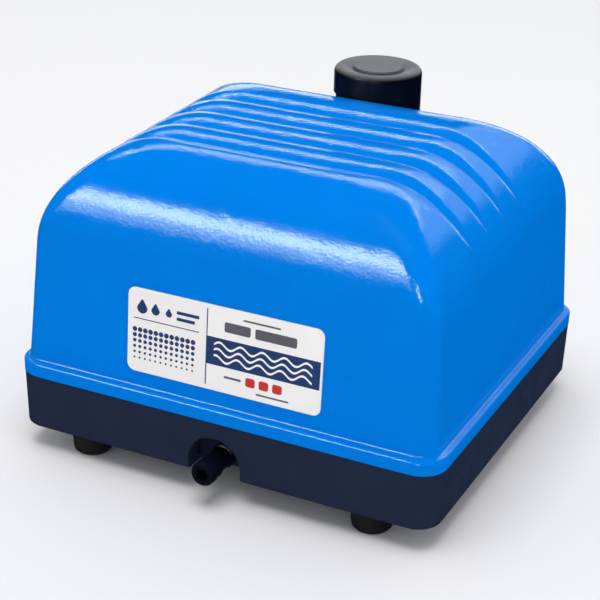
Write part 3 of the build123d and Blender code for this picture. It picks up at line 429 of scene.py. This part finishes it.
# ---- cover: columns round the case, each a half-plane of points ---------------------
FAN_Y = -56.0         # the front fan of half-planes turns about this place
LEVEL_Z = 95.0        # rays rise from this height over the roof, rings run level below it
WALL_LEVELS = 12
ARC_STEPS = 76
PLAN_INSET = 5        # from the case's edge to the walls' plan that the fans aim at
LEAST_TURN = 0.45     # degrees between two half-planes of a fan
FAN_DRAW = 12         # how much nearer the cap's axis the rays start at the rear
UNDER_ROOF = 60.0     # where the rays that find the well's edge start


def between(start, end, steps):
    """Evenly spaced places from a start up to an end, which is left out."""
    return list(np.linspace(start, end, steps + 1)[:-1])


open_rows = between(FAN_Y, run_start, 2) + between(run_start, FIRST_VALLEY, 12)
for rib in range(RIB_COUNT):
    valley = FIRST_VALLEY + rib * RIB_PITCH
    open_rows += between(valley, valley + RIB_PITCH, 16)
open_rows += between(last_valley, run_end, 9) + between(run_end, CAP_Y - WELL_RADIUS, 9)
well_angles = np.radians(np.linspace(0, 90, 19)[:-1])


def perimeter(centre_y, sign):
    """Points along the front or rear wall's plan, from the right side round to the left."""
    half, corner = CASE_WIDTH / 2 - PLAN_INSET, CORNER_RADIUS
    end_y = sign * (CASE_DEPTH / 2 - PLAN_INSET)
    side = [(half, y) for y in np.linspace(centre_y, end_y - sign * corner, 12)]
    for turn in np.radians(np.linspace(0, 90, 15)[1:]):
        side.append((half - corner + corner * math.cos(turn),
                     end_y - sign * corner + sign * corner * math.sin(turn)))
    across = [(x, end_y) for x in np.linspace(half - corner, -half + corner, 56)[1:]]
    return side + across + [(-x, y) for x, y in reversed(side)]


def fan_angles(centre_y, sign, step):
    """Directions of a fan's half-planes, between +X and -X."""
    angles = {round(abs(math.degrees(math.atan2(y - centre_y, x))), 3)
              for x, y in perimeter(centre_y, sign)}
    angles |= set(np.arange(0.0, 180.1, step))
    kept = []
    for angle in sorted(angles):
        if not kept or angle - kept[-1] > LEAST_TURN:
            kept.append(angle)
    return np.radians(kept[1:-1])


# a column's place on the middle line, the way it faces, how far out its rays start, and
# its angle round the cap's axis if it ends at the well
Column = namedtuple("Column", "y facing start hole")
columns = [Column(y, (1, 0), 0.0, None) for y in open_rows]
for turn in well_angles:
    columns.append(Column(CAP_Y - WELL_RADIUS * math.cos(turn), (1, 0),
                          WELL_RADIUS * math.sin(turn), turn - math.pi / 2))
columns.append(Column(CAP_Y, (1, 0), WELL_RADIUS, 0.0))
right_side = columns[:]
for turn in fan_angles(CAP_Y, 1, step=4.0):
    start = WELL_RADIUS - FAN_DRAW * math.sin(turn)**2
    columns.append(Column(CAP_Y, (math.cos(turn), math.sin(turn)), start, turn))
for column in reversed(right_side):
    hole = None if column.hole is None else math.pi - column.hole
    columns.append(Column(column.y, (-1, 0), column.start, hole))
for turn in reversed(fan_angles(FAN_Y, -1, step=6.0)):
    columns.append(Column(FAN_Y, (math.cos(turn), -math.sin(turn)), 0.0, None))

origin = np.array([(0.0, c.y, 0.0) for c in columns])
heading = np.array([(*c.facing, 0.0) for c in columns], float)
ray_start = np.array([c.start for c in columns])
holed = [i for i, c in enumerate(columns) if c.hole is not None]

# the rows over the ribs swing rearwards down the shoulders, as the ribs do
swing = np.array([np.interp(c.y, (FAN_Y, run_start, run_end, CAP_Y - WELL_RADIUS), (0, 1, 1, 0))
                  if c.facing[1] == 0 and c.hole is None else 0.0 for c in columns])


def at(height, lean=0.0):
    """The columns' origins at one height, swung rearwards by a lean."""
    place = origin + np.array((0, 0, height))
    place[:, 1] += lean * swing
    return place


def rays(field, step):
    """One ring of the rays that fan from horizontal up to the top."""
    share = step / ARC_STEPS
    angle = share * ray_top
    start = at(LEVEL_Z) + heading * ray_start[:, None]
    direction = heading * np.cos(angle)[:, None]
    direction[:, 2] = np.sin(angle)
    if field is ribbed:
        hit = cast(form, start, direction)
        above = hit[:, 2] - CREST_SLOPE * hit[:, 1] - MID_CREST + SIDE_SHOULDER + RIB_FADE
        start[:, 1] += swing * lean_back(np.arctan2(np.maximum(np.abs(hit[:, 0]) - ROOF_X, 0),
                                                    above))
    return cast(field, start, direction)


def hole_ring(radius, z):
    """Points round the cap's axis, one for each column that ends at the well."""
    turns = [columns[i].hole for i in holed]
    return np.array([(radius * math.cos(turn), CAP_Y + radius * math.sin(turn), z)
                     for turn in turns])


# height of the roof at the well's edge, and the last ray's angle there
upward = np.tile((0.0, 0.0, 1.0), (len(holed), 1))
edge = cast(form, hole_ring(WELL_RADIUS, UNDER_ROOF), upward)
edge[:, 2] = np.maximum(edge[:, 2], WELL_FLOOR)
ray_top = np.full(len(columns), math.pi / 2)
for k, i in enumerate(holed):
    if columns[i].y == CAP_Y:
        ray_top[i] = math.atan2(edge[k, 2] - LEVEL_Z, WELL_RADIUS - ray_start[i])

rings = [rays(ribbed, step) for step in range(ARC_STEPS, 0, -1)]
rings[0][holed] = edge
lip_top = SPLIT_Z + LIP_HEIGHT
for share in np.linspace(1, 0, WALL_LEVELS):
    z = lip_top + COVE + (LEVEL_Z - lip_top - COVE) * share
    rings.append(cast(ribbed, at(z, LEAN * share), heading))
for turn in np.radians(np.linspace(18, 90, 5)):
    z = lip_top + COVE * (1 - math.sin(turn))
    rings.append(cast(form, at(z), heading, COVE * (1 - math.cos(turn))))
for turn in np.radians(np.linspace(0, 90, 7)):
    z = lip_top - LIP_EDGE * (1 - math.cos(turn))
    rings.append(cast(lip, at(z), heading, -LIP_EDGE * (1 - math.sin(turn))))
rings.append(cast(lip, at(SPLIT_Z + LIP_FOOT), heading))
rings.append(cast(lip, at(SPLIT_Z), heading, -LIP_FOOT))
for z in np.linspace(SPLIT_Z, LEVEL_Z, 4):
    rings.append(cast(cavity, at(z), heading))
rings += [rays(cavity, step) for step in range(4, ARC_STEPS + 1, 8)]

# the well: down its wall, in over its floor and through the air intake
well_rings = [edge]
for share in (0.5, 1.0):
    ring = edge.copy()
    ring[:, 2] += (WELL_FLOOR - edge[:, 2]) * share
    well_rings.append(ring)
mid_floor = (WELL_RADIUS + INTAKE_RADIUS) / 2
well_rings += [hole_ring(mid_floor, WELL_FLOOR), hole_ring(INTAKE_RADIUS, WELL_FLOOR),
               hole_ring(INTAKE_RADIUS, WELL_FLOOR - WALL), rings[-1][holed]]


def grid(mesh, ring_list, closed):
    """Quads between rings of points, given in millimetres."""
    made = [[mesh.verts.new(Vector(p) * MM) for p in ring] for ring in ring_list]
    for upper, lower in zip(made, made[1:]):
        steps = len(upper) if closed else len(upper) - 1
        for i in range(steps):
            j = (i + 1) % len(upper)
            mesh.faces.new((upper[i], upper[j], lower[j], lower[i]))


mesh = bmesh.new()
grid(mesh, rings, True)
grid(mesh, well_rings, False)
weld(mesh)
cover = piece("cover_shell", mesh, paint)
shade(cover, angle=24)
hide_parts("upper_cover")


# ---- printed plate on the front wall ----------------------------------------------
label_low, label_high = box_mm("front_label")
plate_lean = math.atan(WALL_DRAFT)
plate_width = label_high[0] - label_low[0]
plate_height = round((label_high[2] - label_low[2]) / math.cos(plate_lean), 1)
PLATE_CORNER = 3.5
PLATE_THICKNESS = 0.32
INK = 0.05
plate_x, _, plate_z = np.round((label_low + label_high) / 2, 1)
plate_y = -(CASE_DEPTH / 2 - WALL_INSET) + WALL_DRAFT * (plate_z - SPLIT_Z - LIP_HEIGHT)
plate_place = (Matrix.Translation(Vector((plate_x, plate_y, plate_z)) * MM)
               @ Matrix.Rotation(math.pi / 2 - plate_lean, 4, "X"))


def slab(mesh, outline, low, high):
    """A thin prism on the plate: outline in millimetres across and up the plate."""
    bottom = [mesh.verts.new(plate_place @ Vector((x * MM, y * MM, low * MM))) for x, y in outline]
    top = [mesh.verts.new(plate_place @ Vector((x * MM, y * MM, high * MM))) for x, y in outline]
    mesh.faces.new(top)
    mesh.faces.new(list(reversed(bottom)))
    for i in range(len(outline)):
        j = (i + 1) % len(outline)
        mesh.faces.new((bottom[i], bottom[j], top[j], top[i]))


def printed(mesh, outline, low=0.0, high=1.0):
    """A mark in ink, from one number of ink layers above the plate to another."""
    slab(mesh, outline, PLATE_THICKNESS + low * INK, PLATE_THICKNESS + high * INK)


def box_outline(left, right, low, high):
    return [(left, low), (right, low), (right, high), (left, high)]


def soft_outline(left, right, low, high, corner, steps=4):
    """A rectangle with round corners."""
    points = []
    for cx, cy, start in ((right - corner, high - corner, 0), (left + corner, high - corner, 90),
                          (left + corner, low + corner, 180), (right - corner, low + corner, 270)):
        for k in range(steps + 1):
            turn = math.radians(start + 90 * k / steps)
            points.append((cx + corner * math.cos(turn), cy + corner * math.sin(turn)))
    return points


def circle_outline(cx, cy, radius, sides=14):
    return [(cx + radius * math.cos(math.tau * k / sides),
             cy + radius * math.sin(math.tau * k / sides)) for k in range(sides)]


def drop_outline(cx, cy, size, sides=28):
    """A bubble with a pointed top, as a generic mark for air in water."""
    points = []
    for k in range(sides):
        turn = math.tau * k / sides
        rise = max(math.sin(turn), 0)
        points.append((cx + size * math.cos(turn) * (1 - 0.25 * rise),
                       cy + size * math.sin(turn) * (1 + 0.55 * rise**5)))
    return points


def wave_outline(start, end, height, phase, steps=72):
    """A wavy stripe: its outline runs out along the top and back along the bottom."""
    upper, lower = [], []
    for k in range(steps + 1):
        share = k / steps
        x = start + (end - start) * share
        y = height + WAVE_HEIGHT * math.sin(math.tau * WAVE_COUNT * share + phase)
        upper.append((x, y + WAVE_STROKE / 2))
        lower.append((x, y - WAVE_STROKE / 2))
    return upper[::-1] + lower


def print_look(name, colour, shade_colour):
    """Smooth printed film or ink."""
    return surface(name, colour, shade_colour, 0.32, spread=0.04, mottle=25.0, grain=1.5,
                   depth=0.004)


film = print_look("plate_film", (0.90, 0.87, 0.86), (0.86, 0.83, 0.82))
white_ink = print_look("white_ink", (0.92, 0.90, 0.89), (0.88, 0.86, 0.85))
navy_ink = print_look("navy_ink", (0.012, 0.045, 0.17), (0.010, 0.036, 0.14))
grey_ink = print_look("grey_ink", (0.13, 0.13, 0.15), (0.10, 0.10, 0.12))
red_ink = print_look("red_ink", (0.62, 0.03, 0.02), (0.54, 0.025, 0.018))

# the plate's layout, in millimetres across and up from its middle
half_w, half_h = plate_width / 2, plate_height / 2
DIVIDER, DIVIDER_WIDTH = -7.6, 0.5
MARGIN = 1.0
right_of_divider = DIVIDER + DIVIDER_WIDTH / 2
BAND_LOW, BAND_HIGH = -7.4, 4.9
DOT_COLUMNS, DOT_ROWS, DOT_PITCH = 12, 6, 2.55
DOT_X, DOT_Y = -42.0, 0.2
DOT_RADIUS, DOT_SHRINK = 1.12, 0.13
DROP_X, DROP_Y, DROP_PITCH = -38.6, 10.2, 6.4
NAVY_BARS = ((-22.0, -11.4, 11.0, 12.4), (-22.0, -13.4, 8.2, 9.6), (-42.6, -11.4, 5.1, 5.5))
GREY_BARS = ((0.5, 12.5, 8.2, 12.6), (14.6, 33.5, 8.2, 12.6), (9.0, 26.0, 14.6, 15.4),
             (16.0, 31.0, -16.4, -15.6), (1.0, 9.0, -12.2, -11.2))
RED_WIDTH, RED_HEIGHT, RED_PITCH, RED_X, RED_Y = 4.4, 4.0, 6.2, 11.0, -13.6
WAVE_HEIGHT, WAVE_COUNT, WAVE_STROKE, WAVE_PITCH = 1.3, 4.5, 0.95, 3.0

mesh = bmesh.new()
slab(mesh, soft_outline(-half_w, half_w, -half_h, half_h, PLATE_CORNER, steps=6), 0.0,
     PLATE_THICKNESS)
plate = piece("plate_base", mesh, film)
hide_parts("front_label")

mesh = bmesh.new()
printed(mesh, soft_outline(DIVIDER, half_w - MARGIN, -half_h + MARGIN, half_h - MARGIN, 2.6,
                           steps=6), high=0.5)
panel = piece("plate_panel", mesh, white_ink)

# navy: dots that shrink downwards, a thin divider, three drops, bars and a band
mesh = bmesh.new()
for row in range(DOT_ROWS):
    for column in range(DOT_COLUMNS):
        printed(mesh, circle_outline(DOT_X + DOT_PITCH * column, DOT_Y - DOT_PITCH * row,
                                     DOT_RADIUS - DOT_SHRINK * row))
printed(mesh, box_outline(DIVIDER - DIVIDER_WIDTH / 2, right_of_divider, -half_h + 2 * MARGIN,
                          half_h - 2 * MARGIN))
for k, size in enumerate((2.5, 2.0, 1.5)):
    printed(mesh, drop_outline(DROP_X + DROP_PITCH * k, DROP_Y, size))
for bar in NAVY_BARS:
    printed(mesh, box_outline(*bar))
printed(mesh, box_outline(right_of_divider, half_w - MARGIN, BAND_LOW, BAND_HIGH))
navy = piece("plate_navy", mesh, navy_ink)

mesh = bmesh.new()
for k in range(3):
    height = (BAND_LOW + BAND_HIGH) / 2 + WAVE_PITCH * (1 - k)
    printed(mesh, wave_outline(DIVIDER + 3.5, half_w - 4.5, height, 0.5 * k), 1.0, 1.4)
waves = piece("plate_waves", mesh, white_ink)

mesh = bmesh.new()
for left, right, low, high in GREY_BARS:
    printed(mesh, soft_outline(left, right, low, high, min(0.8, (high - low) / 2.2)), 0.5)
grey = piece("plate_grey", mesh, grey_ink)

mesh = bmesh.new()
for k in range(3):
    left = RED_X + RED_PITCH * k
    printed(mesh, soft_outline(left, left + RED_WIDTH, RED_Y, RED_Y + RED_HEIGHT, 1.0), 0.5)
red = piece("plate_red", mesh, red_ink)


# ---- foam in the filter seat --------------------------------------------------------
FOAM_SIDES = 64
FOAM_CLEARANCE = 0.3 * MM
FOAM_RAGGED_EDGE = 0.02          # share of the radius that an edge point may fall short
FOAM_RAGGED_FACE = 0.4 * MM
# a disc's outline from the middle of its lower face to the middle of its upper one
FOAM_OUTLINE = ((0.0, 0.0), (0.35, 0.0), (0.7, 0.0), (0.93, 0.0), (1.0, 0.1), (1.0, 0.5),
                (1.0, 0.9), (0.93, 1.0), (0.7, 1.0), (0.35, 1.0), (0.0, 1.0))

random.seed(7)
foam_low, foam_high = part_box("foam_filter")
foam_mid = (foam_low + foam_high) / 2
foam_radius = (foam_high.x - foam_low.x) / 2 - FOAM_CLEARANCE
mesh = bmesh.new()
foam_rings = []
for share, rise in FOAM_OUTLINE:
    ring = []
    for k in range(FOAM_SIDES):
        turn = math.tau * k / FOAM_SIDES
        radius = foam_radius * share * (1 - FOAM_RAGGED_EDGE * random.random())
        sunk = FOAM_RAGGED_FACE * random.random()
        z = foam_low.z + (foam_high.z - foam_low.z) * rise
        z += sunk if rise < 0.5 else -sunk
        ring.append(mesh.verts.new((foam_mid.x + radius * math.cos(turn),
                                    foam_mid.y + radius * math.sin(turn), z)))
    foam_rings.append(ring)
for lower, upper in zip(foam_rings, foam_rings[1:]):
    for k in range(FOAM_SIDES):
        j = (k + 1) % FOAM_SIDES
        mesh.faces.new((lower[k], lower[j], upper[j], upper[k]))
for ring in (foam_rings[0], foam_rings[-1]):
    centre = sum((v.co for v in ring), Vector()) / len(ring)
    for v in ring:
        v.co = centre
weld(mesh)
foam = piece("foam_pad", mesh, foam_grey)
shade(foam, angle=50)
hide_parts("foam_filter")


# ---- floor, camera and light ----------------------------------------------------------
FLOOR_HALF = 1.3
FLOOR_DROP = 0.2 * MM            # just below the feet

floor_mesh = bmesh.new()
bmesh.ops.create_grid(floor_mesh, x_segments=2, y_segments=2, size=FLOOR_HALF)
floor_data = bpy.data.meshes.new("floor")
floor_mesh.to_mesh(floor_data)
floor_mesh.free()
floor = bpy.data.objects.new("floor", floor_data)
bpy.context.scene.collection.objects.link(floor)
floor_data.materials.append(surface("studio_floor", (0.80, 0.79, 0.80), (0.79, 0.78, 0.79), 0.75,
                                    spread=0.02, mottle=400.0, grain=4.0, depth=0.02))
floor.location.z = -FLOOR_DROP
floor.visible_glossy = floor.visible_shadow = False
floor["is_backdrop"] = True

CAMERA_PLACE = Vector((0.28692, -0.61014, 0.35654))
YAW, PITCH, ROLL = 0.4458, 0.418, 0.029

camera = bpy.data.objects.new("camera", bpy.data.cameras.new("camera"))
bpy.context.scene.collection.objects.link(camera)
forward = Vector((-math.sin(YAW) * math.cos(PITCH), math.cos(YAW) * math.cos(PITCH),
                  -math.sin(PITCH)))
right = Vector((math.cos(YAW), math.sin(YAW), 0))
upright = right.cross(forward)
camera_x = math.cos(ROLL) * right + math.sin(ROLL) * upright
camera_y = -math.sin(ROLL) * right + math.cos(ROLL) * upright
turned = Matrix((camera_x, camera_y, -forward)).transposed().to_4x4()
camera.matrix_world = Matrix.Translation(CAMERA_PLACE) @ turned
camera.data.sensor_width = 36.0
camera.data.lens = 96.87
camera.data.clip_start = 0.01
bpy.context.scene.camera = camera


AIM = Vector((0, 0, 0.09))
WHITE = (1.0, 1.0, 1.0)
FRONT_TINT = (0.86, 1.0, 0.92)
REAR_TINT = (0.86, 1.0, 0.96)


def soft_box(name, azimuth, elevation, distance, width, height, watts, highlight, tint):
    """A rectangular light aimed at the case, azimuth 0 in front and 90 on the right.

    It either lights the colours or shows as a highlight, so each is set by itself.
    """
    data = bpy.data.lights.new(name, "AREA")
    data.shape = "RECTANGLE"
    data.size, data.size_y = width, height
    data.energy = watts
    data.color = tint
    light = bpy.data.objects.new(name, data)
    a, e = math.radians(azimuth), math.radians(elevation)
    back = Vector((math.sin(a) * math.cos(e), -math.cos(a) * math.cos(e), math.sin(e)))
    light.location = AIM + back * distance
    light.rotation_euler = (-back).to_track_quat("-Z", "Y").to_euler()
    light.visible_diffuse = not highlight
    light.visible_glossy = highlight
    bpy.context.scene.collection.objects.link(light)


soft_box("front_box", -28, 32, 1.9, 0.98, 0.42, 21, True, FRONT_TINT)
soft_box("front_glow", -26, 22, 1.9, 1.0, 0.50, 8, True, FRONT_TINT)
soft_box("corner_box", 14, 18, 1.9, 0.26, 0.55, 9, True, FRONT_TINT)
soft_box("rear_box", -163, 42, 2.2, 2.9, 0.07, 13.0, True, REAR_TINT)
soft_box("rear_low", -160, 5, 2.2, 3.6, 0.30, 9.0, True, REAR_TINT)
soft_box("rear_floor", -154, -24, 2.2, 1.5, 1.3, 6.2, True, REAR_TINT)
soft_box("haze_box", 168, 27, 2.2, 1.6, 0.9, 4.5, True, REAR_TINT)
soft_box("overhead", 0, 80, 2.4, 1.6, 1.6, 39, False, WHITE)

# a pale world, brighter behind the case than in front of it, and dimmer overhead
world = bpy.data.worlds.new("studio")
world.use_nodes = True
bpy.context.scene.world = world
world.cycles_visibility.glossy = False
tree = world.node_tree
sky_place = tree.nodes.new("ShaderNodeTexCoord")
split = tree.nodes.new("ShaderNodeSeparateXYZ")
tree.links.new(sky_place.outputs["Generated"], split.inputs[0])
strength = tree.nodes.new("ShaderNodeMath")
strength.operation = "MULTIPLY"
for k, (axis, start, end, low, high) in enumerate((("Y", -0.5, 0.5, 1.02, 1.58),
                                                   ("Z", 0.34, 0.60, 1.0, 0.40))):
    ramp = tree.nodes.new("ShaderNodeMapRange")
    for socket, value in (("From Min", start), ("From Max", end), ("To Min", low),
                          ("To Max", high)):
        ramp.inputs[socket].default_value = value
    tree.links.new(split.outputs[axis], ramp.inputs["Value"])
    tree.links.new(ramp.outputs["Result"], strength.inputs[k])
background = tree.nodes["Background"]
background.inputs["Color"].default_value = (0.97, 0.98, 1.0, 1)
tree.links.new(strength.outputs[0], background.inputs["Strength"])

bpy.context.scene.view_settings.view_transform = "Standard"

low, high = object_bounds()
